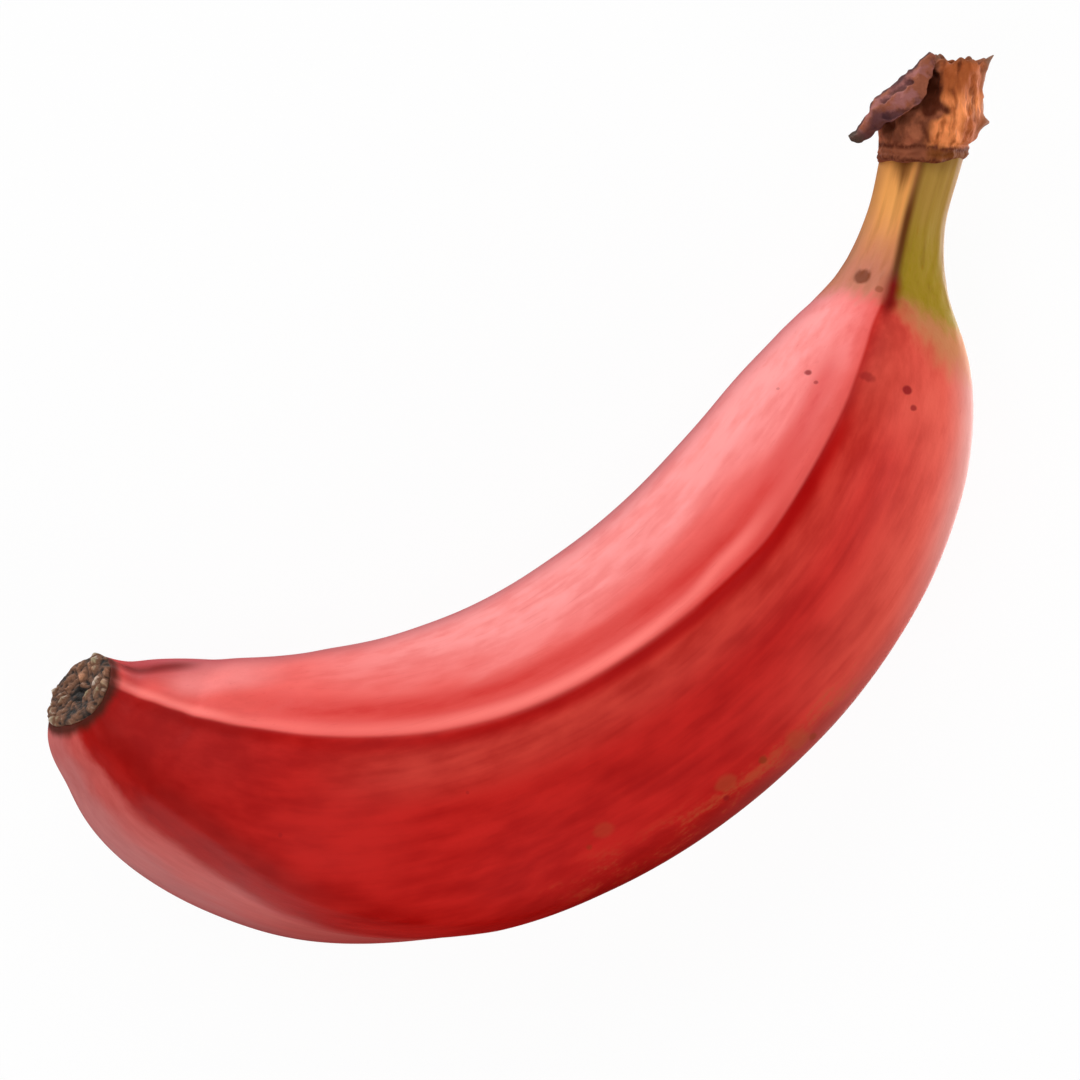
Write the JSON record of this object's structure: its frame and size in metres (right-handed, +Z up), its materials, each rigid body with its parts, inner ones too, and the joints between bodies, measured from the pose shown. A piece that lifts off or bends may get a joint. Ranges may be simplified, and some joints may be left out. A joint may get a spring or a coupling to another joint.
{
  "type": "red banana",
  "caption": "Stout bowed red banana lying on its side, with blunt ridges, a dry blossom scar and a ridged stem ending in a torn brown crown.",
  "frame": {"origin": "on the surface it lies on, under the middle of the fruit's bounding box", "axes": "+X along the bow's chord from the blossom scar to the stem, +Y to the hollow side of the bow, +Z up"},
  "size_m": [0.1602, 0.0686, 0.0408],
  "materials": {
    "skin": "waxy satin red peel, paler and pinker on the ridges, with fine flecks",
    "stem": "dull tan peel turning olive on one side",
    "crown": "dry torn fibrous brown",
    "scar": "dry crusty dark brown"
  },
  "bodies": {
    "root": {"banana": "skin"}
  },
  "joints": []
}
